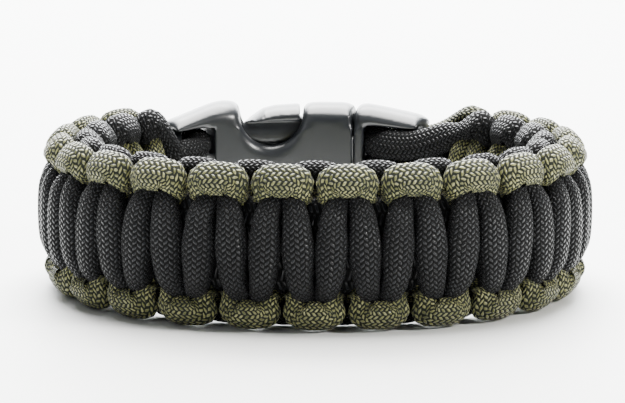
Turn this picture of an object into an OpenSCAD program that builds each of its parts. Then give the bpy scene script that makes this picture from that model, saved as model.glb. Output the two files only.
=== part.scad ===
// Bracelet knotted from two cords, closed with a side-release buckle.
// It lies on its edge: +Z is the wrist's axis, -Y the front and +Y the buckle.

/* [Cord] */
// Diameter of the cord where nothing squeezes it
cord_d = 4; // [3.4:0.1:4.6]
// Gap kept between one cord and the next
cord_gap = 0.1; // [0.05:0.05:0.3]

/* [Weave] */
// Slack beside each pair of bars, along the band
bar_slack = 0.15; // [0.15:0.05:0.6]
// Width of the band, from edge to edge
band_w = 22.8; // [22.8:0.2:28]

/* [Loop] */
// Half width of the loop, to the middle of the band
loop_half_w = 34.4; // [32:0.2:46]
// Radius of the back's arc, along which the buckle curves
back_r = 40; // [36:1:60]
// Half angle of the back's arc
back_angle = 30; // [26:1:34]
// Half angle of the front's flatter arc
front_angle = 15; // [12:1:30]

/* [Buckle] */
// Thickness of the buckle, from its inner to its outer face
buckle_t = 7.6; // [7.2:0.2:9]
// Width of the buckle's body across the band
buckle_w = 20; // [19.6:0.2:24]
// How much wider the socket's rails stand at their widest, on each side
rail_out = 0.6; // [0:0.1:1]
// Length of the socket, from its strap bar's end to the split
socket_l = 30.5; // [29:0.5:36]
// Place of the split, past the middle of the back
split_at = 6.1; // [4:0.1:9]
// Length of the plug that stands out of the socket
plug_l = 11.4; // [11:0.2:15]
// Length of the plug's solid end plate, along the band
plug_base_l = 1.9; // [1.4:0.1:2.4]
// Wall of the socket round its hollow
wall = 1.85; // [1.6:0.05:2]
// Width of both strap slots, across the band
slot_w = 14.2; // [13.8:0.2:15]
// Length of the socket's strap slot, along the band
slot_l = 4.6; // [4.4:0.1:5.4]
// Length of the socket's strap bar, along the band
socket_bar_l = 2.6; // [2:0.1:3.2]
// Length of the plug's strap bar, along the band
plug_bar_l = 4; // [3:0.1:4.4]
// Thickness of both strap bars
bar_t = 2.6; // [2:0.1:3]
// Length of a finger cut-out at the body's edge
cutout_l = 9.8; // [8:0.2:10.4]
// Depth of a finger cut-out
cutout_deep = 4.9; // [3:0.1:5.2]
// Distance from a finger cut-out's middle to the split
cutout_back = 12.9; // [12:0.1:14]
// Thickness of the plug's spring arms, across the band
arm_w = 2.6; // [2:0.1:3.4]
// Running gap between plug and socket
fit_gap = 0.25; // [0.15:0.05:0.4]

/* [Hidden] */

black = [0.13, 0.14, 0.16];
olive = [0.33, 0.34, 0.22];
plastic = [0.27, 0.28, 0.29];

// One quarter of a knot, from the middle of a bar to just before the middle of the bight after it.
// The share of the pitch along the band, then shares of the cord's diameter:
// out from the middle, in from the band's edge, width and thickness.
pitch = 2 * (cord_d + bar_slack);
quarter = [
    // along, out, from edge, wide, thick
    [0.250, 0.880, 2.85, 1.00, 0.86],
    [0.232, 0.820, 1.90, 0.94, 0.82],
    [0.198, 0.620, 1.45, 0.79, 0.70],
    [0.140, 0.260, 1.18, 0.54, 0.62],
    [0.128, -0.035, 1.01, 0.46, 0.84],
    [0.142, -0.240, 0.80, 0.57, 0.62],
    [0.212, -0.455, 0.62, 1.00, 0.61],
    [0.385, -0.575, 0.445, 1.26, 0.68]];
last = len(quarter) - 1;
// Number of flat sides that a cord has
sides = 6;

// The loop is a front arc, two side arcs and a back arc that run smoothly into each other.
side_angle = 180 - back_angle - front_angle;
side_r = (loop_half_w - back_r * sin(back_angle)) / (1 - sin(back_angle));
front_r = side_r + (back_r - side_r) * sin(back_angle) / sin(front_angle);
front_l = front_r * front_angle * PI / 180;
side_l = side_r * side_angle * PI / 180;
back_l = back_r * back_angle * PI / 180;
half_l = front_l + side_l + back_l;
loop_deep = back_r * (1 - cos(back_angle)) + front_r * (1 - cos(front_angle))
    + side_r * (cos(back_angle) + cos(front_angle));
// The band reaches furthest out at the flat side of a bar's middle.
band_half_t = (quarter[0][1] + cos(180 / sides) * quarter[0][4] / 2) * cord_d;
// The front of the band and the back of the buckle are as far from the origin.
front_y = (band_half_t - loop_deep - buckle_t / 2) / 2;
front_c = [0, front_y + front_r];
side_c = front_c + (front_r - side_r) * [sin(front_angle), -cos(front_angle)];
back_c = [0, front_y + loop_deep - back_r];
mid_z = band_w / 2;

// Along the band: s runs from the middle of the front to +X. Out: t, away from the wrist. Across: w.
function turn(s) =
    s < front_l ? s / front_l * front_angle
    : s < front_l + side_l ? front_angle + (s - front_l) / side_l * side_angle
    : 180 - back_angle + (s - front_l - side_l) / back_l * back_angle;
function arc_c(s) = s < front_l ? front_c : s < front_l + side_l ? side_c : back_c;
function arc_r(s) = s < front_l ? front_r : s < front_l + side_l ? side_r : back_r;
function place(p) =
    let (s = abs(p[0]), side = p[0] < 0 ? -1 : 1, a = turn(s), r = arc_r(s) + p[1], c = arc_c(s))
    [side * (c[0] + r * sin(a)), c[1] - r * cos(a), mid_z + p[2]];

// A row of the table in millimetres. The bar's middle stays in the middle of the band.
function knot(i) =
    let (q = quarter[i])
    [q[0] * pitch, q[1] * cord_d, i == 0 ? 0 : band_w / 2 - q[2] * cord_d, q[3] * cord_d, q[4] * cord_d];

// Four quarters make a whole knot of the black cord, from the middle of the top bight at s to that
// of the next: down a bar to the bottom bight, and up the bar after it.
function falling(s) = [
    for (i = [last:-1:0]) let (k = knot(i)) [s + pitch / 2 - k[0], k[1], k[2], k[3], k[4]],
    for (i = [1:last]) let (k = knot(i)) [s + k[0], k[1], -k[2], k[3], k[4]]];
function rising(s) = [
    for (i = [last:-1:0]) let (k = knot(i)) [s + pitch / 2 - k[0], k[1], -k[2], k[3], k[4]],
    for (i = [1:last]) let (k = knot(i)) [s + k[0], k[1], k[2], k[3], k[4]]];
function whole_knot(s) = concat(falling(s), rising(s + pitch / 2));

// The strap bars and slots of the buckle, as lengths along the band.
socket_end = socket_l - split_at - half_l;
socket_slot = socket_end - socket_bar_l;
plug_end = half_l - split_at - plug_l;
plug_slot = plug_end + plug_bar_l;

// Least length of bare cord between the weave and the bars
socket_room = 0.6 * cord_d;
plug_room = 1.3 * cord_d;
// The weave has as many whole knots as leave that room, and the olive cord half a knot more.
knots = floor(min((-socket_end - socket_room) / pitch, (plug_end - plug_room) / pitch - 0.5));
weave_end = knots * pitch;
// The filling stays in the middle up to the last bars at the plug.
core_end = weave_end + 0.7 * pitch;

// The filling cords lie side by side. Round a strap bar a cord is squeezed a little.
// The bare stretches' rows are shares of these sizes, of the stretch and of the cord's diameter.
core_w = 0.525 * cord_d;
core_wide = 0.82 * cord_d;
core_thick = cord_d;
wrap_d = 0.9 * cord_d;
wrap_t = bar_t / 2 + cord_gap + wrap_d / 2;
wrap_s = cord_gap + wrap_d / 2;
// The ends reach to the far side of the plug's slot.
fill_s = plug_l - plug_base_l - plug_bar_l - cord_gap - wrap_d / 2;
outer_w = slot_w / 2 - cord_gap - 0.6 * cord_d;
// At the plug's bar the black filling lies under the black cord's other end, the olive one below it.
black_loop_w = outer_w - wrap_d - cord_gap;
olive_loop_w = -0.7 * cord_d;

function size(p, wide, thick) = [p[0], p[1], p[2], wide, thick];
function wrapped(s, t, w) = [s, t, w, wrap_d, wrap_d];
bight = knot(last);

// Bare stretch of the black cord at the socket: from the filling, over the bar's outer face,
// down through the slot, back on the inner face and into the first bight.
function socket_lead() = let (e = socket_end, b = socket_slot, span = -e - weave_end) [
    [-weave_end - 0.1 * span, 0.08 * wrap_t, core_w, core_wide, 0.95 * cord_d],
    [-weave_end - 0.5 * span, 0.62 * wrap_t, core_w + 0.12 * cord_d, core_wide, 0.85 * cord_d],
    [e + 0.12 * span, 1.06 * wrap_t, core_w + 0.35 * cord_d, core_wide, 0.83 * cord_d],
    wrapped((e + b) / 2, 1.02 * wrap_t, outer_w - 0.08 * cord_d),
    wrapped(b - 0.4 * wrap_s, 0.97 * wrap_t, outer_w),
    wrapped(b - 0.9 * wrap_s, 0.52 * wrap_t, outer_w),
    wrapped(b - wrap_s, 0, outer_w),
    wrapped(b - 0.9 * wrap_s, -0.52 * wrap_t, outer_w),
    wrapped(b - 0.4 * wrap_s, -0.97 * wrap_t, outer_w),
    wrapped((e + b) / 2, -1.03 * wrap_t, outer_w - 0.02 * cord_d),
    size([e + 0.12 * span, -1.1 * wrap_t, outer_w], 0.7 * cord_d, 0.84 * cord_d),
    size([-weave_end - 0.15 * span, (bight[1] - wrap_t) / 2, bight[2] - 0.36 * cord_d],
        0.8 * cord_d, 0.78 * cord_d)];

// Round the plug's bar into its slot, where the two cords' ends meet, melted together. Side is 1
// from the outer face.
function into_slot(side, w) = let (b = plug_slot) [
    wrapped(b + 0.3 * fill_s, side * 0.97 * wrap_t, w),
    wrapped(b + 0.75 * fill_s, side * 0.75 * wrap_t, w),
    wrapped(b + fill_s, side * 0.35 * wrap_t, w),
    wrapped(b + fill_s, side * cord_gap, w)];

// Bare stretch at the plug: from the last bight at s over one face of the bar and into the slot.
function plug_lead(s, side, first) = let (e = plug_end, b = plug_slot, span = e - s) [
    [s + span * first, side * (0.6 * wrap_t - 0.4 * bight[1]), bight[2] * 0.6 + outer_w * 0.4,
        cord_d, 0.8 * cord_d],
    wrapped(s + span * 0.9, side * wrap_t, bight[2] * 0.14 + outer_w * 0.86),
    wrapped((e + b) / 2, side * 1.02 * wrap_t, outer_w),
    each into_slot(side, outer_w)];

// The filling's other end lies beside it, on the same bar, and goes across from one height to another.
function core_lead(side, from, to) = let (e = plug_end, b = plug_slot, s = core_end, span = e - s) [
    [s, 0, from, core_wide, core_thick],
    [s + span * 0.45, side * 0.55 * wrap_t, from * 0.75 + to * 0.25, core_wide, 0.88 * cord_d],
    wrapped(s + span * 0.93, side * 1.06 * wrap_t, (from + to) / 2),
    wrapped((e + b) / 2, side * 1.02 * wrap_t, to + 0.08 * (from - to)),
    each into_slot(side, to)];

// The straight filling has a ring every few millimetres, enough for the loop's curve.
core_step = 5;
function filling(w, from, to) =
    let (n = ceil((to - from) / core_step))
    [for (i = [1:n - 1]) [from + (to - from) * i / n, 0, w, core_wide, core_thick]];

function reversed(list) = [for (i = [len(list) - 1:-1:0]) list[i]];
// A half turn about the band's own line swaps the faces and the edges.
function half_turn(list) = [for (p = list) [p[0], -p[1], -p[2], p[3], p[4]]];

// The black cord: filling, round the socket's bar, woven back, and on to the plug's bar.
black_route = concat(
    reversed(core_lead(-1, core_w, black_loop_w)),
    reversed(filling(core_w, -weave_end, core_end)),
    socket_lead(),
    [for (k = [-knots:knots - 1]) each whole_knot(k * pitch)],
    [size([weave_end + 0.2 * (plug_end - weave_end), 1.1 * bight[1], bight[2] - 0.16 * cord_d],
        0.8 * cord_d, 0.72 * cord_d)],
    plug_lead(weave_end, -1, 0.5));

// The olive cord follows the same way after a half turn, and makes half a knot more at the plug.
olive_end = weave_end + pitch / 2;
olive_route = concat(
    reversed(core_lead(1, -core_w, olive_loop_w)),
    reversed(filling(-core_w, -weave_end, core_end)),
    half_turn(socket_lead()),
    half_turn([for (k = [-knots:knots - 1]) each whole_knot(k * pitch)]),
    half_turn(falling(weave_end)),
    plug_lead(olive_end, 1, 0.45));

// A cord is swept as one closed skin. Each ring is an ellipse square to the route, whose thin way
// points away from the middle of the band's section. These are the half sizes of the oval that the
// thin way is square to.
oval = [1.35, 2.75] * cord_d;
function unit(v) = v / norm(v);
function ring(a, p, b) =
    let (
        along = unit([b[0] - a[0], b[1] - a[1], b[2] - a[2]]),
        away = [0, p[1] / pow(oval[0], 2), p[2] / pow(oval[1], 2)],
        up = unit(away - (away * along) * along),
        across = cross(along, up))
    [for (i = [0:sides - 1]) let (around = i * 360 / sides)
        place([p[0], p[1], p[2]] + cos(around) * p[3] / 2 * across + sin(around) * p[4] / 2 * up)];

module cord(route) {
    n = len(route);
    points = [for (i = [0:n - 1])
        each ring(route[max(i - 1, 0)], route[i], route[min(i + 1, n - 1)])];
    skin = [for (i = [0:n - 2]) for (j = [0:sides - 1])
        let (a = i * sides + j, b = i * sides + (j + 1) % sides, c = a + sides, d = b + sides)
        each [[a, c, d], [a, d, b]]];
    polyhedron(points, concat(
        [[for (j = [0:sides - 1]) j]], skin, [[for (j = [sides - 1:-1:0]) (n - 1) * sides + j]]));
}

module black_cord() {
    color(black) cord(black_route);
}

module olive_cord() {
    color(olive) cord(olive_route);
}

// The buckle is cut from a shell round the back arc's centre. A length along the back, a, is
// counted from its middle, to +X.
function back_turn(a) = a / back_r * 180 / PI;
function back_x(a) = back_r * sin(back_turn(a));
half_w = buckle_w / 2;
half_t = buckle_t / 2;
// Depth of the socket's hollow, from the split
hollow_l = 19.1;
hollow_w = half_w - wall;
hollow_t = half_t - wall;
socket_a = split_at - socket_l;
socket_slot_a = socket_a + socket_bar_l;
hollow_a = split_at - hollow_l;
cutout_a = split_at - cutout_back;
cutout_r = (pow(cutout_l / 2, 2) + pow(cutout_deep, 2)) / (2 * cutout_deep);
plug_a = split_at + plug_l;
// Extra length by which a cut passes the face that it opens
over = 1;

// A curved block from a to b along the back, reaching t to both sides of the loop and w across.
module block(a, b, t, w) {
    translate([back_c[0], back_c[1], mid_z])
        rotate(90 - back_turn(b))
            rotate_extrude(angle = back_turn(b - a), $fn = 256)
                translate([back_r - t, -w])
                    square([2 * t, 2 * w]);
}

// Cuts straight through from the front to the back, along an outline of x and height.
module through() {
    translate([0, back_c[1] + back_r + half_t + over, mid_z])
        rotate([90, 0, 0])
            linear_extrude(back_r)
                children();
}

// An outline over the middle of the band, with its mirror image below
function both_edges(points) = concat(points, reversed([for (p = points) [p[0], -p[1]]]));

// The slot from a to b, open at the end where a strap bar crosses it. The bar is thinner than the
// rails on both faces.
module strap_slot(a, b, bar_a, bar_b) {
    difference() {
        block(a, b, half_t + over, slot_w / 2);
        block(bar_a, bar_b, bar_t / 2, slot_w / 2 + over);
    }
}

// Outline of the socket: rails that widen from the bar to a peak, then the straight body.
socket_end_w = 0.82 * half_w;
peak_a = cutout_a - 0.7 * cutout_l;
peak_l = 2.4;
peak_w = half_w + rail_out;
socket_outline = both_edges([
    [back_x(socket_a) - over, socket_end_w - 0.2 * rail_out],
    [back_x(socket_a) + over, socket_end_w + 0.2 * rail_out],
    [back_x(peak_a - peak_l), peak_w - 0.4 * rail_out],
    [back_x(peak_a), peak_w],
    [back_x(peak_a + 0.14 * cutout_l), half_w + 0.3 * rail_out],
    [back_x(cutout_a), half_w],
    [back_x(split_at) + over, half_w]]);

module buckle_socket() {
    color(plastic) difference() {
        intersection() {
            block(socket_a, split_at, half_t, half_w + rail_out + over);
            through() polygon(socket_outline);
        }
        strap_slot(socket_a - over, socket_slot_a + slot_l, socket_a - 2 * over, socket_slot_a);
        block(hollow_a, split_at + over, hollow_t, hollow_w);
        for (side = [-1, 1])
            through() translate([back_x(cutout_a), side * (half_w - cutout_deep + cutout_r)])
                circle(cutout_r, $fn = 64);
    }
}

// Outline of the upper spring arm: a finger pad that rises in the cut-out to its shoulder, which
// catches behind the cut-out's edge. Places along it are shares of half the cut-out's length.
arm_top = hollow_w - fit_gap;
pad = cutout_l / 2;
shoulder = cutout_a + 0.84 * pad;
arm_outline = [
    [back_x(split_at + fit_gap) + over, arm_top - arm_w],
    [back_x(shoulder), arm_top - 0.9 * arm_w],
    [back_x(cutout_a - 0.9 * pad), arm_top - 0.8 * arm_w],
    [back_x(cutout_a - 0.9 * pad), arm_top - 0.3 * arm_w],
    [back_x(cutout_a - 0.6 * pad), arm_top + 0.1 * wall],
    [back_x(cutout_a - 0.25 * pad), arm_top + 0.65 * wall],
    [back_x(cutout_a + 0.1 * pad), arm_top + 0.85 * wall],
    [back_x(shoulder + 0.06 * pad), arm_top + 0.95 * wall],
    [back_x(shoulder), arm_top],
    [back_x(split_at + fit_gap) + over, arm_top]];

// Outline of the plug outside: rails that narrow towards the bar.
plug_end_w = 0.86 * half_w;
plug_narrowing = 0.02 * half_w;
plug_outline = both_edges([
    [back_x(split_at) - over, half_w],
    [back_x(split_at + plug_base_l), half_w],
    [back_x(plug_a) - over, plug_end_w + plug_narrowing],
    [back_x(plug_a) + over, plug_end_w - plug_narrowing]]);

module buckle_plug() {
    color(plastic) {
        difference() {
            intersection() {
                block(split_at + fit_gap, plug_a, half_t, half_w + over);
                through() polygon(plug_outline);
            }
            strap_slot(split_at + plug_base_l, plug_a + over, plug_a - plug_bar_l, plug_a + 2 * over);
        }
        intersection() {
            block(cutout_a - pad, split_at + plug_base_l, hollow_t - fit_gap, half_w + over);
            union() {
                through() polygon(arm_outline);
                mirror([0, 0, 1]) translate([0, 0, -2 * mid_z]) through() polygon(arm_outline);
            }
        }
    }
}

black_cord();
olive_cord();
buckle_socket();
buckle_plug();
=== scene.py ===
import math
import bpy
from mathutils import Matrix, Vector


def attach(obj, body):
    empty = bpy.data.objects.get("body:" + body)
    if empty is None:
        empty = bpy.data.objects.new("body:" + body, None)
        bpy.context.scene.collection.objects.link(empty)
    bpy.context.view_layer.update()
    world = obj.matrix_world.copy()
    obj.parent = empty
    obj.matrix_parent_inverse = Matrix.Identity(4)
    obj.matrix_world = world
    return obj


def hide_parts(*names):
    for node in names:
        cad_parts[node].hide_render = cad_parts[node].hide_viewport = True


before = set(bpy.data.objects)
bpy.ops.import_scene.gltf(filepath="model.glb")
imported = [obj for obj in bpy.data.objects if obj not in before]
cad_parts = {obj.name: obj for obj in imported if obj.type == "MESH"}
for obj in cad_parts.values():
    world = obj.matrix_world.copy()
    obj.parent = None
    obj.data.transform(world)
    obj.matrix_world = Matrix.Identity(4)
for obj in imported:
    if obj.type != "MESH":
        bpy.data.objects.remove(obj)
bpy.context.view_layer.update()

# Lengths are in millimetres, and MM makes them metres. The camera, the lights and the floor are in metres.
MM = 0.001

# Camera, light and floor

LENS = 165.7
EYE = (0.0002, -0.4063, 0.0843)
EYE_DOWN = math.radians(10.07)
EYE_TURN = math.radians(0.08)
EYE_ROLL = math.radians(0.28)
LOOP_MIDDLE = (0, 0, 0.012)
FLOOR_REACH = 1.5


def look_from_the_front():
    """The photograph's view: a long lens, a little above the bracelet."""
    lens = bpy.data.cameras.new("view")
    lens.sensor_width = 36
    lens.lens = LENS
    lens.clip_start = 0.02
    lens.clip_end = 20
    eye = bpy.data.objects.new("view", lens)
    turn = Matrix.Rotation(EYE_TURN, 4, "Z") @ Matrix.Rotation(math.pi / 2 - EYE_DOWN, 4, "X")
    eye.matrix_world = Matrix.Translation(EYE) @ turn @ Matrix.Rotation(EYE_ROLL, 4, "Z")
    bpy.context.scene.collection.objects.link(eye)
    bpy.context.scene.camera = eye


def soft_box(name, place, aim, size, watts, colour):
    """A rectangular light that shines from its place to its aim."""
    light = bpy.data.lights.new(name, "AREA")
    light.shape = "RECTANGLE"
    light.size, light.size_y = size
    light.energy = watts
    light.color = colour
    lamp = bpy.data.objects.new(name, light)
    lamp.location = place
    lamp.rotation_euler = (Vector(aim) - Vector(place)).to_track_quat("-Z", "Y").to_euler()
    bpy.context.scene.collection.objects.link(lamp)


def studio():
    """A large light behind that whitens the upper edges, a weaker one above and two small ones in front."""
    world = bpy.data.worlds.new("studio")
    bpy.context.scene.world = world
    world.use_nodes = True
    sky = world.node_tree.nodes["Background"]
    sky.inputs["Color"].default_value = (0.93, 0.96, 1.0, 1)
    sky.inputs["Strength"].default_value = 0.12
    soft_box("window_behind", place=(0, 0.70, 0.46), aim=LOOP_MIDDLE, size=(0.90, 0.90),
             watts=50.0, colour=(0.97, 0.99, 1))
    soft_box("soft_above", place=(0, 0.17, 0.50), aim=(0, 0.05, 0.012), size=(0.36, 0.50),
             watts=14.0, colour=(1, 0.99, 0.97))
    soft_box("key_right", place=(0.40, -0.15, 0.26), aim=(0, -0.02, 0.012), size=(0.06, 0.06),
             watts=2.4, colour=(1, 0.98, 0.94))
    soft_box("fill_front_left", place=(-0.35, -0.40, 0.35), aim=LOOP_MIDDLE, size=(0.40, 0.40),
             watts=0.4, colour=(0.95, 0.98, 1))


def lay_floor():
    """A wide pale floor under the bracelet."""
    mesh = bpy.data.meshes.new("floor")
    far = FLOOR_REACH
    mesh.from_pydata([(-far, -far, 0), (far, -far, 0), (far, far, 0), (-far, far, 0)], [], [(0, 1, 2, 3)])
    floor = bpy.data.objects.new("floor", mesh)
    bpy.context.scene.collection.objects.link(floor)
    paint = bpy.data.materials.new("floor")
    paint.use_nodes = True
    face = paint.node_tree.nodes["Principled BSDF"]
    face.inputs["Base Color"].default_value = (0.94, 0.95, 0.94, 1)
    face.inputs["Roughness"].default_value = 0.55
    mesh.materials.append(paint)


# Helpers for node trees


class Nodes:
    """Adds nodes to a tree and joins them, so that a formula reads from left to right."""

    def __init__(self, tree):
        self.tree = tree

    def put(self, kind, inputs=(), **settings):
        made = self.tree.nodes.new(kind)
        for name, value in settings.items():
            setattr(made, name, value)
        for name, value in dict(inputs).items():
            self.feed(made.inputs[name], value)
        return made

    def feed(self, socket, value):
        if isinstance(value, bpy.types.NodeSocket):
            self.tree.links.new(value, socket)
        else:
            socket.default_value = value

    def math(self, operation, a, b=0.0, c=0.0):
        made = self.put("ShaderNodeMath", operation=operation)
        for socket, value in zip(made.inputs, (a, b, c)):
            self.feed(socket, value)
        return made.outputs[0]

    def vector(self, operation, a, b=(0, 0, 0)):
        made = self.put("ShaderNodeVectorMath", operation=operation)
        self.feed(made.inputs[0], a)
        self.feed(made.inputs[1], b)
        return made.outputs["Value" if operation in ("DOT_PRODUCT", "DISTANCE") else "Vector"]

    def scaled(self, vector, scale):
        made = self.put("ShaderNodeVectorMath", {"Scale": scale}, operation="SCALE")
        self.feed(made.inputs[0], vector)
        return made.outputs["Vector"]

    def xyz(self, x, y, z):
        return self.put("ShaderNodeCombineXYZ", {"X": x, "Y": y, "Z": z}).outputs[0]

    def parts(self, vector):
        return self.put("ShaderNodeSeparateXYZ", {"Vector": vector}).outputs

    def mix(self, glint_and_wear_share, a, b):
        made = self.put("ShaderNodeMix", data_type="RGBA")
        for number, value in ((0, glint_and_wear_share), (6, a), (7, b)):
            self.feed(made.inputs[number], value)
        return made.outputs[2]

    def ramp(self, value, low, high, to_low=0.0, to_high=1.0):
        ends = {"From Min": low, "From Max": high, "To Min": to_low, "To Max": to_high}
        return self.put("ShaderNodeMapRange", {"Value": value, **ends}).outputs[0]

    def group(self, name):
        return self.put("ShaderNodeGroup", node_tree=bpy.data.node_groups[name])


def new_group(name, kind, inputs, outputs):
    """A node group with named sockets: (name, type, value) going in and (name, type) coming out."""
    tree = bpy.data.node_groups.new(name, kind)
    for label, form, value in inputs:
        socket = tree.interface.new_socket(name=label, in_out="INPUT", socket_type="NodeSocket" + form)
        if value is not None:
            socket.default_value = value
    for label, form in outputs:
        tree.interface.new_socket(name=label, in_out="OUTPUT", socket_type="NodeSocket" + form)
    nodes = Nodes(tree)
    given = nodes.put("NodeGroupInput").outputs
    wanted = nodes.put("NodeGroupOutput").inputs
    return tree, nodes, given, wanted


# Sizes of the cords, the loop and the buckle, as in the solids

CORD = 4.0
CORD_GAP = 0.1
CORD_SIDES = 6
BAR_SLACK = 0.15
BAND = 22.8
HALF_WIDTH = 34.4
BACK_R = 40.0
BACK_ANGLE = math.radians(30)
FRONT_ANGLE = math.radians(15)
BUCKLE_T = 7.6
SOCKET_L = 30.5
SPLIT_AT = 6.1
PLUG_L = 11.4
PLUG_BASE_L = 1.9
SLOT_W = 14.2
SOCKET_BAR_L = 2.6
PLUG_BAR_L = 4.0
BAR_T = 2.6
# In cord diameters, how far out the middle of a weave's bar lies and how thick it is
BAR_OUT = 0.88
BAR_THICK = 0.86

# The loop is a front arc, two side arcs and a back arc that run smoothly into each other.
SIDE_R = (HALF_WIDTH - BACK_R * math.sin(BACK_ANGLE)) / (1 - math.sin(BACK_ANGLE))
FRONT_R = SIDE_R + (BACK_R - SIDE_R) * math.sin(BACK_ANGLE) / math.sin(FRONT_ANGLE)
FRONT_L = FRONT_R * FRONT_ANGLE
SIDE_L = SIDE_R * (math.pi - BACK_ANGLE - FRONT_ANGLE)
HALF_L = FRONT_L + SIDE_L + BACK_R * BACK_ANGLE
LOOP_DEEP = (BACK_R * (1 - math.cos(BACK_ANGLE)) + FRONT_R * (1 - math.cos(FRONT_ANGLE))
             + SIDE_R * (math.cos(BACK_ANGLE) + math.cos(FRONT_ANGLE)))
BAND_HALF = (BAR_OUT + BAR_THICK / 2 * math.cos(math.pi / CORD_SIDES)) * CORD
FRONT_Y = (BAND_HALF - LOOP_DEEP - BUCKLE_T / 2) / 2
BACK_C = (0.0, FRONT_Y + LOOP_DEEP - BACK_R)
MIDDLE = BAND / 2

# The two cords' routes

# A row (s, t, w, wide, thick) is a place along the band from the front's middle, outwards and upwards
# from the band's middle, and the cord's width and thickness there. The rows follow those of the solids,
# with squarer arches, a pressed filling and fuller strands in the slots.

# The length of a knot of two bars
PITCH = 2 * (CORD + BAR_SLACK)

# One quarter of a knot, from the middle of a bar to just before the middle of the bight after it:
# along in pitches, then in cord diameters out from the band's middle, in from its edge, wide and thick.
QUARTER = [
    (0.250, 0.880, 2.85, 1.03, 0.88),
    (0.224, 0.840, 1.92, 0.86, 0.85),
    (0.187, 0.660, 1.48, 0.76, 0.78),
    (0.146, 0.300, 1.18, 0.70, 0.80),
    (0.164, -0.110, 1.40, 0.42, 0.78),
    (0.212, -0.380, 1.18, 0.46, 0.80),
    (0.264, -0.540, 0.70, 1.14, 0.84),
    (0.385, -0.570, 0.59, 1.18, 0.80)]
LAST = len(QUARTER) - 1

# Whole knots on each side of the front's middle
KNOTS = 9
WEAVE_END = KNOTS * PITCH

# Where the buckle's two strap bars and their slots begin along the band
SOCKET_END = SOCKET_L - SPLIT_AT - HALF_L
SOCKET_SLOT = SOCKET_END - SOCKET_BAR_L
PLUG_END = HALF_L - SPLIT_AT - PLUG_L
PLUG_SLOT = PLUG_END + PLUG_BAR_L

# The filling: where it ends, how far apart its rows are at most, where it comes out and how wide it is
CORE_END = WEAVE_END + 0.7 * PITCH
CORE_STEP = 5.0
CORE_W = 0.525 * CORD
CORE_WIDE = 0.82 * CORD

# The cord wrapped round a strap bar: its width, and how far off the bar's middle and its edge it lies
WRAP = 0.9 * CORD
WRAP_T = BAR_T / 2 + CORD_GAP + WRAP / 2
WRAP_S = CORD_GAP + WRAP / 2

# How deep the ends reach into the plug's slot, and how far up or down the strands on the bars lie
FILL_S = PLUG_L - PLUG_BASE_L - PLUG_BAR_L - WRAP_S
OUTER_W = SLOT_W / 2 - CORD_GAP - 0.6 * CORD
BLACK_LOOP_W = OUTER_W - WRAP - CORD_GAP
OLIVE_LOOP_W = -0.7 * CORD

# How much taller than a wrapped cord the strands and the filling's ends are where they fill the plug's slot
STRAND_FULL = 1.28
CORE_FULL = 1.3


def knot(i):
    """A row of the table in millimetres. The bar's middle stays in the middle of the band."""
    along, out, in_from_edge, wide, thick = QUARTER[i]
    up = BAND / 2 - in_from_edge * CORD if i else 0.0
    return (along * PITCH, out * CORD, up, wide * CORD, thick * CORD)


BIGHT = knot(LAST)


def falling(s):
    """From the middle of a top bight down the next bar to the middle of the bottom bight."""
    rows = [knot(i) for i in range(LAST + 1)]
    return ([(s + PITCH / 2 - along, t, w, wide, thick) for along, t, w, wide, thick in rows[::-1]]
            + [(s + along, t, -w, wide, thick) for along, t, w, wide, thick in rows[1:]])


def whole_knot(s):
    """Down one bar and up the bar after it."""
    down = falling(s)
    up = [(along, t, -w, wide, thick) for along, t, w, wide, thick in falling(s + PITCH / 2)]
    return down + up


def wrapped(s, t, w):
    """A row of the cord where it is pressed round a strap bar."""
    return (s, t, w, WRAP, WRAP)


def socket_lead():
    """Bare cord at the socket: out of the filling, round the strap bar and into the first bight."""
    bar, slot = SOCKET_END, SOCKET_SLOT
    span = -bar - WEAVE_END
    # in the slot the loop spreads, so that no light comes past it
    spread_w = OUTER_W + 0.1
    spread = (1.2 * WRAP, 1.5 * WRAP)
    return [
        (-WEAVE_END - 0.1 * span, 0.08 * WRAP_T, CORE_W, CORE_WIDE, 0.95 * CORD),
        (-WEAVE_END - 0.5 * span, 0.62 * WRAP_T, CORE_W + 0.12 * CORD, CORE_WIDE, 0.85 * CORD),
        (bar + 0.12 * span, 1.06 * WRAP_T, CORE_W + 0.35 * CORD, CORE_WIDE, 0.83 * CORD),
        wrapped((bar + slot) / 2, 1.02 * WRAP_T, OUTER_W - 0.08 * CORD),
        wrapped(slot - 0.4 * WRAP_S, 0.97 * WRAP_T, OUTER_W),
        (slot - 1.12 * WRAP_S, 0.52 * WRAP_T, spread_w, *spread),
        (slot - 1.26 * WRAP_S, 0, spread_w, 1.3 * WRAP, 1.55 * WRAP),
        (slot - 1.12 * WRAP_S, -0.52 * WRAP_T, spread_w, *spread),
        wrapped(slot - 0.4 * WRAP_S, -0.97 * WRAP_T, OUTER_W),
        wrapped((bar + slot) / 2, -1.03 * WRAP_T, OUTER_W - 0.02 * CORD),
        (bar + 0.12 * span, -1.1 * WRAP_T, OUTER_W, 0.7 * CORD, 0.84 * CORD),
        (-WEAVE_END - 0.15 * span, (BIGHT[1] - WRAP_T) / 2, BIGHT[2] - 0.36 * CORD, 0.8 * CORD, 0.78 * CORD)]


def into_slot(side, w, full):
    """Round the plug's bar into its slot, where the two cords meet. Side is 1 outside and -1 inside."""
    slot = PLUG_SLOT
    end_size = (1.35 * WRAP, 1.1 * full * WRAP)
    return [
        (slot + 0.3 * FILL_S, side * 0.97 * WRAP_T, w, full * WRAP, WRAP),
        (slot + 0.75 * FILL_S, side * 0.75 * WRAP_T, w, full * WRAP, WRAP),
        (slot + FILL_S, side * 0.35 * WRAP_T, w, *end_size),
        (slot + FILL_S, side * CORD_GAP, w, *end_size)]


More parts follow.
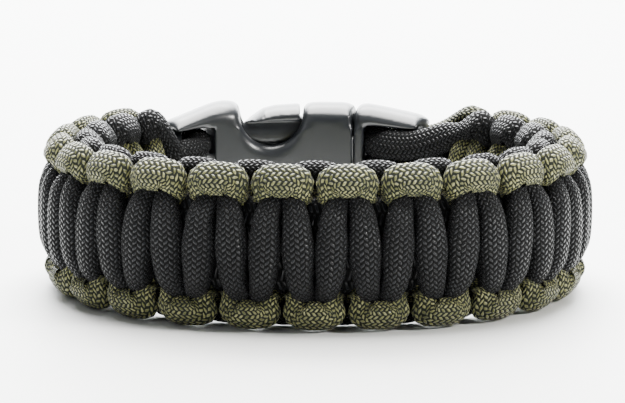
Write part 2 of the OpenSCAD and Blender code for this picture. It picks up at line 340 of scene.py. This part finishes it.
def plug_lead(s, side, first):
    """Bare cord at the plug: out of the last bight, over one face of the strap bar and into the slot."""
    bar, slot = PLUG_END, PLUG_SLOT
    span = bar - s
    over_bar_w = OUTER_W + 0.4
    return [
        (s + span * first, side * (0.6 * WRAP_T - 0.4 * BIGHT[1]), BIGHT[2] * 0.5 + OUTER_W * 0.5,
         1.12 * CORD, 0.8 * CORD),
        (s + span * 0.9, side * WRAP_T, BIGHT[2] * 0.2 + OUTER_W * 0.8, STRAND_FULL * WRAP, WRAP),
        ((bar + slot) / 2, side * 1.02 * WRAP_T, over_bar_w, STRAND_FULL * WRAP, WRAP),
        *into_slot(side, over_bar_w, STRAND_FULL)]


def core_lead(side, start, end):
    """The filling's end at the plug, beside the working strand on the same bar."""
    bar, slot, s = PLUG_END, PLUG_SLOT, CORE_END
    span = bar - s
    return [
        (s, 0, 1.24 * start, CORE_WIDE, 1.6 * CORD),
        (s + span * 0.45, side * 0.55 * WRAP_T, start * 0.75 + end * 0.25, CORE_FULL * CORE_WIDE, 1.2 * CORD),
        wrapped(s + span * 0.93, side * 1.06 * WRAP_T, (start + end) / 2),
        wrapped((bar + slot) / 2, side * 1.02 * WRAP_T, end + 0.08 * (start - end)),
        *into_slot(side, end, CORE_FULL)]


def filling(w, out, up, wide, thick):
    """One half of the filling: round at w where it comes out of the weave, and pressed inside it."""
    length = CORE_END + WEAVE_END
    count = math.ceil(length / CORE_STEP)
    first = (-WEAVE_END, 0, w, CORE_WIDE, CORD)
    pressed = [(-WEAVE_END + length * i / count, out, up, wide, thick) for i in range(2, count - 1)]
    last = (CORE_END - CORE_STEP, 0, w, CORE_WIDE, CORD)
    return [first] + pressed + [last]


def half_turn(rows):
    """A half turn about the band's own line swaps the faces and the edges."""
    return [(s, -t, -w, wide, thick) for s, t, w, wide, thick in rows]


def weave():
    """All the whole knots, from the socket's side to the plug's."""
    return [row for k in range(-KNOTS, KNOTS) for row in whole_knot(k * PITCH)]


def black_route():
    """Its half of the filling is a ribbon behind the bars, which closes the gaps between them."""
    after_weave = (WEAVE_END + 0.2 * (PLUG_END - WEAVE_END), 1.1 * BIGHT[1], BIGHT[2] - 0.34 * CORD,
                   0.8 * CORD, 0.72 * CORD)
    return [
        *reversed(core_lead(-1, CORE_W, BLACK_LOOP_W)),
        *reversed(filling(CORE_W, 0.08 * CORD, 0, 3.3 * CORD, 0.78 * CORD)),
        *socket_lead(),
        *weave(),
        after_weave,
        *plug_lead(WEAVE_END, -1, 0.5)]


def olive_route():
    """The same way after a half turn, with a thinner filling and half a knot more at the plug."""
    return [
        *reversed(core_lead(1, -CORE_W, OLIVE_LOOP_W)),
        *reversed(filling(-CORE_W, 0, -1.1 * CORE_W, 0.8 * CORD, 1.2 * CORD)),
        *half_turn(socket_lead() + weave() + falling(WEAVE_END)),
        *plug_lead(WEAVE_END + PITCH / 2, 1, 0.45)]


# Trees that sweep a cord and lay it round the loop


def round_the_loop():
    """Turns a place along, out of and across the band into one on the loop of arcs."""
    tree, n, given, wanted = new_group("round_the_loop", "GeometryNodeTree", [
        ("Place", "Vector", None),
        ("Front radius", "Float", FRONT_R * MM),
        ("Side radius", "Float", SIDE_R * MM),
        ("Back radius", "Float", BACK_R * MM),
        ("Front angle", "Float", FRONT_ANGLE),
        ("Back angle", "Float", BACK_ANGLE),
        ("Front", "Float", FRONT_Y * MM),
        ("Depth", "Float", LOOP_DEEP * MM),
        ("Middle height", "Float", MIDDLE * MM)],
        [("Place", "Vector")])
    along, out, across = n.parts(given["Place"])
    side = n.math("SIGN", along)
    s = n.math("ABSOLUTE", along)
    front_r, side_r, back_r = given["Front radius"], given["Side radius"], given["Back radius"]
    front_angle, back_angle = given["Front angle"], given["Back angle"]
    front_end = n.math("MULTIPLY", front_r, front_angle)
    back_turn = n.math("SUBTRACT", math.pi, back_angle)
    side_end = n.math("MULTIPLY_ADD", n.math("SUBTRACT", back_turn, front_angle), side_r, front_end)
    in_front = n.math("LESS_THAN", s, front_end)
    in_back = n.math("GREATER_THAN", s, side_end)

    def chosen(front, middle, back):
        first = n.math("MULTIPLY_ADD", in_front, n.math("SUBTRACT", front, middle), middle)
        return n.math("MULTIPLY_ADD", in_back, n.math("SUBTRACT", back, middle), first)

    radius = chosen(front_r, side_r, back_r)
    past = n.math("DIVIDE", n.math("SUBTRACT", s, chosen(0.0, front_end, side_end)), radius)
    angle = n.math("ADD", chosen(0.0, front_angle, back_turn), past)
    less = n.math("SUBTRACT", front_r, side_r)
    centre_x = chosen(0.0, n.math("MULTIPLY", less, n.math("SINE", front_angle)), 0.0)
    front_y = n.math("ADD", given["Front"], front_r)
    side_y = n.math("SUBTRACT", front_y, n.math("MULTIPLY", less, n.math("COSINE", front_angle)))
    back_y = n.math("SUBTRACT", n.math("ADD", given["Front"], given["Depth"]), back_r)
    centre_y = chosen(front_y, side_y, back_y)
    reach = n.math("ADD", radius, out)
    x = n.math("MULTIPLY", side, n.math("MULTIPLY_ADD", reach, n.math("SINE", angle), centre_x))
    y = n.math("SUBTRACT", centre_y, n.math("MULTIPLY", reach, n.math("COSINE", angle)))
    n.feed(wanted["Place"], n.xyz(x, y, n.math("ADD", across, given["Middle height"])))
    return tree


def captured(n, geometry, fields):
    """Keeps fields on a geometry, each with its type and name, for later nodes to read."""
    keep = n.put("GeometryNodeCaptureAttribute")
    for form, label, value in fields:
        keep.capture_items.new(form, label)
        n.feed(keep.inputs[label], value)
    n.feed(keep.inputs["Geometry"], geometry)
    return keep.outputs


def swept_cord(loop):
    """Sweeps a squeezed round section along a chain of points that carry its width and thickness."""
    tree, n, given, wanted = new_group("swept_cord", "GeometryNodeTree", [
        ("Geometry", "Geometry", None),
        ("Step", "Float", 0.5 * MM),
        ("Sides", "Int", 20),
        ("Fullness", "Float", 2.6),
        ("Oval out", "Float", 1.35 * CORD * MM),
        ("Oval across", "Float", 2.75 * CORD * MM),
        ("Sheath", "Material", None)],
        [("Geometry", "Geometry")])
    line = n.put("GeometryNodeMeshToCurve", {"Mesh": given["Geometry"]}).outputs["Curve"]
    line = n.put("GeometryNodeCurveSplineType", {"Curve": line}, spline_type="CATMULL_ROM").outputs["Curve"]
    line = n.put("GeometryNodeSetSplineResolution", {"Geometry": line, "Resolution": 8}).outputs[0]
    line = n.put("GeometryNodeResampleCurve", {
        "Curve": line, "Length": given["Step"]}, mode="LENGTH").outputs[0]

    # the cord is wide along an oval about the band's middle line and thin across it
    place = n.put("GeometryNodeInputPosition").outputs[0]
    along = n.put("GeometryNodeInputTangent").outputs[0]
    _, out, across = n.parts(place)
    away_out = n.math("DIVIDE", out, n.math("MULTIPLY", given["Oval out"], given["Oval out"]))
    away_across = n.math("DIVIDE", across, n.math("MULTIPLY", given["Oval across"], given["Oval across"]))
    away = n.xyz(0.0, away_out, away_across)
    lean = n.scaled(along, n.vector("DOT_PRODUCT", away, along))
    thin_way = n.vector("NORMALIZE", n.vector("SUBTRACT", away, lean))
    wide_way = n.vector("CROSS_PRODUCT", along, thin_way)

    def half(label):
        named = n.put("GeometryNodeInputNamedAttribute", {"Name": label}, data_type="FLOAT")
        return n.math("MULTIPLY", named.outputs[0], 0.5)

    half_wide = half("wide")
    half_thick = half("thick")

    # the braid is as long as the cord's outer side, where a bend stretches it
    skin = n.vector("ADD", place, n.scaled(thin_way, half_thick))
    before = n.math("MAXIMUM", n.math("SUBTRACT", n.put("GeometryNodeInputIndex").outputs[0], 1.0), 0.0)
    last_skin = n.put("GeometryNodeFieldAtIndex", {"Index": before, "Value": skin},
                      data_type="FLOAT_VECTOR", domain="POINT").outputs[0]
    run = n.put("GeometryNodeAccumulateField", {"Value": n.vector("DISTANCE", skin, last_skin)},
                data_type="FLOAT", domain="POINT")
    kept = captured(n, line, [
        ("VECTOR", "middle", place),
        ("VECTOR", "wide_way", n.scaled(wide_way, half_wide)),
        ("VECTOR", "thin_way", n.scaled(thin_way, half_thick)),
        ("FLOAT", "length", run.outputs["Leading"])])

    circle = n.put("GeometryNodeCurvePrimitiveCircle", {"Resolution": given["Sides"], "Radius": 1.0})
    section = captured(n, circle.outputs["Curve"], [
        ("VECTOR", "round", n.put("GeometryNodeInputPosition").outputs[0])])
    tube = n.put("GeometryNodeCurveToMesh", {
        "Curve": kept["Geometry"], "Profile Curve": section["Geometry"], "Fill Caps": True}).outputs["Mesh"]

    # a fuller form than the ellipse, as a pressed cord has
    wide_share, thin_share, _ = n.parts(section["round"])
    full = given["Fullness"]
    sum_of_powers = n.math("ADD", n.math("POWER", n.math("ABSOLUTE", wide_share), full),
                           n.math("POWER", n.math("ABSOLUTE", thin_share), full))
    swell = n.math("DIVIDE", 1.0, n.math("POWER", sum_of_powers, n.math("DIVIDE", 1.0, full)))
    spread = n.vector("ADD", n.scaled(kept["wide_way"], wide_share), n.scaled(kept["thin_way"], thin_share))
    bend = n.put("GeometryNodeGroup", node_tree=loop)
    n.feed(bend.inputs["Place"], n.vector("ADD", kept["middle"], n.scaled(spread, swell)))
    tube = n.put("GeometryNodeSetPosition", {"Geometry": tube, "Position": bend.outputs[0]}).outputs[0]
    tube = n.put("GeometryNodeStoreNamedAttribute", {
        "Geometry": tube, "Name": "braid", "Value": n.xyz(wide_share, thin_share, kept["length"])},
        data_type="FLOAT_VECTOR", domain="POINT").outputs[0]
    tube = n.put("GeometryNodeSetShadeSmooth", {"Geometry": tube}).outputs[0]
    tube = n.put("GeometryNodeRealizeInstances", {"Geometry": tube}).outputs[0]
    tube = n.put("GeometryNodeSetMaterial", {"Geometry": tube, "Material": given["Sheath"]}).outputs[0]
    n.feed(wanted["Geometry"], tube)
    return tree


def plain_copy(source, name):
    """The evaluated object as a plain mesh, with no modifier left."""
    bpy.context.view_layer.update()
    done = source.evaluated_get(bpy.context.evaluated_depsgraph_get())
    mesh = bpy.data.meshes.new_from_object(done)
    mesh.name = name
    piece = bpy.data.objects.new(name, mesh)
    bpy.context.scene.collection.objects.link(piece)
    bpy.data.objects.remove(source)
    return piece


def lay_cord(name, node, rows, tree, sheath):
    """Sweeps one cord along its rows."""
    mesh = bpy.data.meshes.new(name + "_route")
    points = [(s * MM, t * MM, w * MM) for s, t, w, _, _ in rows]
    mesh.from_pydata(points, [(i, i + 1) for i in range(len(rows) - 1)], [])
    for label, column in (("wide", 3), ("thick", 4)):
        sizes = mesh.attributes.new(label, "FLOAT", "POINT").data
        sizes.foreach_set("value", [row[column] * MM for row in rows])
    route = bpy.data.objects.new(name + "_route", mesh)
    bpy.context.scene.collection.objects.link(route)
    sweep = route.modifiers.new("sweep", "NODES")
    sweep.node_group = tree
    ids = {item.name: item.identifier for item in tree.interface.items_tree if item.in_out == "INPUT"}
    sweep[ids["Sheath"]] = sheath
    piece = plain_copy(route, name)
    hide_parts(node)
    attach(piece, "root")
    return piece


# Finishes


def wear_group():
    """Soft blotches and small flecks over a surface."""
    tree, n, given, wanted = new_group("wear", "ShaderNodeTree", [
        ("Blotch size", "Float", 9 * MM),
        ("Fleck size", "Float", 1 * MM)],
        [("Blotches", "Float"), ("Flecks", "Float")])
    place = n.put("ShaderNodeTexCoord").outputs["Object"]
    for label, out, detail in (("Blotch size", "Blotches", 3.0), ("Fleck size", "Flecks", 2.0)):
        scale = n.math("DIVIDE", 1.0, given[label])
        noise = n.put("ShaderNodeTexNoise", {
            "Vector": place, "Scale": scale, "Detail": detail, "Roughness": 0.55})
        n.feed(wanted[out], n.ramp(noise.outputs[0], 0.3, 0.7))
    return tree


def sheath_group():
    """The braided sheath: columns of slanted picks round the cord, that lean to alternate sides, with painted
    glints on some picks and painted shade between them.
    """
    tree, n, given, wanted = new_group("braided_sheath", "ShaderNodeTree", [
        ("Braid", "Vector", None),
        ("Columns", "Float", 22.0),
        ("Pick length", "Float", 0.80 * MM),
        ("Slant", "Float", 0.52),
        ("Fill", "Float", 0.62),
        ("Pick", "Color", None),
        ("Painted glint pick", "Color", None),
        ("Painted gap shade", "Color", None),
        ("Painted glint and wear share", "Float", 0.3),
        ("Filament angle", "Float", 40.0),
        ("Filament height", "Float", 0.01)],
        [("Color", "Color"), ("Height", "Float"), ("Roughness", "Float")])
    # columns are counted round the cord and picks along it, half a pick on in every other column
    wide_share, thin_share, length = n.parts(given["Braid"])
    share_round = n.math("DIVIDE", n.math("ARCTAN2", thin_share, wide_share), 2 * math.pi)
    columns = n.math("MULTIPLY", share_round, given["Columns"])
    column = n.math("FLOOR", columns)
    off_column = n.math("SUBTRACT", n.math("FRACT", columns), 0.5)
    odd = n.math("FLOORED_MODULO", column, 2.0)
    way = n.math("MULTIPLY_ADD", odd, 2.0, -1.0)
    lean = n.math("MULTIPLY", n.math("MULTIPLY", way, off_column), given["Slant"])
    along = n.math("ADD", n.math("DIVIDE", length, given["Pick length"]), lean)
    picks = n.math("ADD", along, n.math("MULTIPLY", odd, 0.5))
    row = n.math("FLOOR", picks)
    off_pick = n.math("SUBTRACT", n.math("FRACT", picks), 0.5)

    # a pick bulges in its middle and falls to its sides and ends, and fine filaments run along it
    far = n.math("DIVIDE", n.math("MULTIPLY", n.math("ABSOLUTE", off_pick), 2.0), given["Fill"])
    over = n.math("SUBTRACT", 1.0, n.math("POWER", far, 1.8))
    aside = n.math("ABSOLUTE", n.math("MULTIPLY", off_column, 2.0))
    across = n.math("SUBTRACT", 1.0, n.math("POWER", aside, 2.0))
    inside = n.math("MULTIPLY", n.math("MAXIMUM", over, 0.0), n.math("MAXIMUM", across, 0.0))
    bulge = n.math("SQRT", inside)
    filaments = n.math("SINE", n.math("MULTIPLY", off_pick, given["Filament angle"]))
    n.feed(wanted["Height"], n.math("MULTIPLY_ADD", filaments, given["Filament height"], bulge))

    # some picks are paler than others at random, as painted glints, and all are a little paler in the
    # blotches
    chance = n.put("ShaderNodeTexWhiteNoise", {"Vector": n.xyz(column, row, 3.0)}, noise_dimensions="3D")
    pale = n.math("MULTIPLY", n.ramp(chance.outputs["Value"], 0.0, 1.0), given["Painted glint and wear share"])
    half_share = n.math("MULTIPLY", given["Painted glint and wear share"], 0.5)
    pale = n.math("ADD", pale, n.math("MULTIPLY", n.group("wear").outputs["Blotches"], half_share))
    thread = n.mix(pale, given["Pick"], given["Painted glint pick"])
    # towards each pick's sides and ends the colour falls to a dark one: painted shade in the gaps between
    # picks
    n.feed(wanted["Color"], n.mix(n.ramp(bulge, 0.34, 0.80), given["Painted gap shade"], thread))
    n.feed(wanted["Roughness"], n.ramp(bulge, 0.35, 0.85, 0.95, 0.20))
    return tree


def sheath_material(name, pick, pale, painted_gap_shade, glint_and_wear_share, sheen, shine):
    """A cord's finish: its picks' colour and the paler colour of painted glints, the painted shade between
    the picks and how it takes the light.
    """
    paint = bpy.data.materials.new(name)
    paint.use_nodes = True
    n = Nodes(paint.node_tree)
    face = paint.node_tree.nodes["Principled BSDF"]
    braid = n.group("braided_sheath")
    n.feed(braid.inputs["Braid"], n.put("ShaderNodeAttribute", attribute_name="braid").outputs["Vector"])
    for label, value in (("Pick", pick), ("Painted glint pick", pale), ("Painted gap shade", painted_gap_shade), ("Painted glint and wear share", glint_and_wear_share)):
        n.feed(braid.inputs[label], value)
    bump = n.put("ShaderNodeBump", {
        "Height": braid.outputs["Height"], "Strength": 1.0, "Distance": 0.22 * MM})
    n.feed(face.inputs["Base Color"], braid.outputs["Color"])
    n.feed(face.inputs["Roughness"], braid.outputs["Roughness"])
    n.feed(face.inputs["Normal"], bump.outputs[0])
    face.inputs["Specular IOR Level"].default_value = shine
    face.inputs["Sheen Weight"].default_value = sheen
    face.inputs["Sheen Roughness"].default_value = 0.4
    return paint


def plastic_material():
    """The buckle's satin black plastic, with soft blotches, fine flecks and a faint grain."""
    paint = bpy.data.materials.new("buckle_plastic")
    paint.use_nodes = True
    n = Nodes(paint.node_tree)
    face = paint.node_tree.nodes["Principled BSDF"]
    place = n.put("ShaderNodeTexCoord").outputs["Object"]
    worn = n.group("wear")
    deep = (0.015, 0.017, 0.020, 1)
    pale = (0.019, 0.021, 0.024, 1)
    n.feed(face.inputs["Base Color"], n.mix(worn.outputs["Blotches"], deep, pale))
    n.feed(face.inputs["Roughness"], n.ramp(worn.outputs["Flecks"], 0.0, 1.0, 0.28, 0.33))
    grain = n.put("ShaderNodeTexNoise", {"Vector": place, "Scale": 5200.0, "Detail": 2.0}).outputs[0]
    bump = n.put("ShaderNodeBump", {"Height": grain, "Strength": 0.25, "Distance": 0.03 * MM})
    n.feed(face.inputs["Normal"], bump.outputs[0])
    face.inputs["Specular IOR Level"].default_value = 0.75
    return paint


# The buckle's moulded edges

# The outline is taken in columns this wide, and the copy is remeshed on a grid this fine.
COLUMN = 0.4
GRID = 0.22
# How far the long edges fall away to the faces, and how deep from the outline that reaches
EDGE_DROP = 1.5
EDGE_DEEP = 3.5
# What the rounding takes from the height is given back first.
TALLER = 1.10
# How deep the strong rounding reaches, and the turns of smoothing near the long edges and all over
ROUND_DEEP = 3.6
ROUND_TURNS = 220
EASE_TURNS = 8

# The plug's arms and finger pads lie left of this place. Their heights are from the band's middle.
ARMS_END = 5.0
# The lip begins this far below the outline, less where the outline is low, and never under LIP_LOWEST.
LIP_DEEP = 1.4
LIP_LOWEST = 8.3
LIP_THINS_FROM = 7.6
LIP_THINS_OVER = 2.0
# How the lip rises from the hollow, and how far it grows out
LIP_RISE = 0.9
LIP_SWELL = 0.95
# Where the hollow begins, over what height it gets deep, and its share of the arm's thickness
HOLLOW_FROM = 6.4
HOLLOW_RISE = 1.6
HOLLOW_SHARE = 0.62
# Between these heights, the arms' inner edges reach this much closer to the middle.
ARM_EDGE_LOW = 4.6
ARM_EDGE_HIGH = 6.8
ARM_REACH = 1.5


def column(v):
    """The narrow column that a vertex lies in."""
    return round(v.co.x / (COLUMN * MM))


def outline(mesh):
    """The piece's lowest and highest places in each narrow column."""
    low, high = {}, {}
    for v in mesh.vertices:
        x, z = column(v), v.co.z
        low[x] = min(low.get(x, z), z)
        high[x] = max(high.get(x, z), z)
    return low, high


def near_long_edges(mesh, depth):
    """Vertices that lie within a depth of the piece's upper or lower outline, seen from the front."""
    low, high = outline(mesh)
    return [v.index for v in mesh.vertices if min(high[column(v)] - v.co.z, v.co.z - low[column(v)]) < depth]


def dome_the_edges(mesh):
    """The long edges fall away to both faces, and the piece grows to make up for the rounding."""
    centre = Vector(BACK_C) * MM
    middle = MIDDLE * MM
    depth = EDGE_DEEP * MM
    low, high = outline(mesh)
    for v in mesh.vertices:
        x = column(v)
        out = (v.co.xy - centre).length - BACK_R * MM
        drop = EDGE_DROP * MM * min(abs(out) / (BUCKLE_T / 2 * MM), 1.0) ** 2
        above, below = high[x] - v.co.z, v.co.z - low[x]
        if above < depth:
            v.co.z -= drop * (1 - above / depth)
        elif below < depth:
            v.co.z += drop * (1 - below / depth)
        v.co.z = middle + TALLER * (v.co.z - middle)


def part_way(value, start, span):
    """How far a value has come over a span, from 0 to 1."""
    return min(max((value - start) / span, 0.0), 1.0)


def shape_the_pads(mesh):
    """The pads get a hollow below a lip as thick as the whole buckle, and the arms reach further in."""
    centre = Vector(BACK_C) * MM
    middle = MIDDLE * MM
    _, top = outline(mesh)
    for v in mesh.vertices:
        if v.co.x < ARMS_END * MM:
            high = abs(v.co.z - middle) / MM
            edge = (top[column(v)] - middle) / MM
            lip = max(edge - LIP_DEEP * part_way(edge, LIP_THINS_FROM, LIP_THINS_OVER), LIP_LOWEST)
            hollow = HOLLOW_SHARE * part_way(high, HOLLOW_FROM, HOLLOW_RISE)
            swell = 1.0 - hollow + (LIP_SWELL + hollow) * part_way(high, lip - LIP_RISE, LIP_RISE)
            arm = v.co.xy - centre
            radius = arm.length
            arm *= (BACK_R * MM + swell * (radius - BACK_R * MM)) / radius
            v.co.x, v.co.y = centre + arm
            if ARM_EDGE_LOW < high < ARM_EDGE_HIGH:
                reach = ARM_REACH * min(ARM_EDGE_HIGH - high, 1.0) * MM
                v.co.z += math.copysign(reach, middle - v.co.z)


def moulded(name, node, paint):
    """A copy of the solid whose edges are rounded as moulded plastic's are, the long ones most."""
    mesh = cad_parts[node].data.copy()
    mesh.name = name + "_sharp"
    copy = bpy.data.objects.new(name + "_sharp", mesh)
    bpy.context.scene.collection.objects.link(copy)
    weld = copy.modifiers.new("weld", "WELD")
    weld.merge_threshold = 0.001 * MM
    fine = copy.modifiers.new("fine", "REMESH")
    fine.mode = "VOXEL"
    fine.voxel_size = GRID * MM
    fine.use_smooth_shade = True
    dense = plain_copy(copy, name + "_dense")
    is_plug = node == "buckle_plug"
    if is_plug:
        shape_the_pads(dense.data)
    dome_the_edges(dense.data)
    round_ones = near_long_edges(dense.data, ROUND_DEEP * MM)
    if is_plug:
        round_ones = [i for i in round_ones if dense.data.vertices[i].co.x > ARMS_END * MM]
    edges = dense.vertex_groups.new(name="long_edges")
    edges.add(round_ones, 1.0, "REPLACE")
    for label, group, turns in (("round", "long_edges", ROUND_TURNS), ("ease", "", EASE_TURNS)):
        smooth = dense.modifiers.new(label, "SMOOTH")
        smooth.factor = 0.5
        smooth.iterations = turns
        smooth.vertex_group = group
    piece = plain_copy(dense, name)
    piece.data.materials.clear()
    piece.data.materials.append(paint)
    piece.data.shade_smooth()
    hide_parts(node)
    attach(piece, "root")
    return piece


look_from_the_front()
studio()
lay_floor()
wear_group()
sheath_group()
sweep = swept_cord(round_the_loop())
# Each cord's pale colour is that of painted glints, and the colour between its picks is painted shade in the
# gaps.
black = sheath_material(
    "black_sheath", pick=(0.0040, 0.0044, 0.0052, 1), pale=(0.028, 0.030, 0.033, 1),
    painted_gap_shade=(0.0004, 0.0005, 0.0006, 1), glint_and_wear_share=0.32, sheen=0.0, shine=0.24)
olive = sheath_material(
    "olive_sheath", pick=(0.062, 0.068, 0.019, 1), pale=(0.41, 0.40, 0.17, 1),
    painted_gap_shade=(0.006, 0.008, 0.003, 1), glint_and_wear_share=0.46, sheen=0.03, shine=0.38)
lay_cord("black_paracord", "black_cord", black_route(), sweep, black)
lay_cord("olive_paracord", "olive_cord", olive_route(), sweep, olive)
plastic = plastic_material()
moulded("buckle_socket_moulded", "buckle_socket", plastic)
moulded("buckle_plug_moulded", "buckle_plug", plastic)
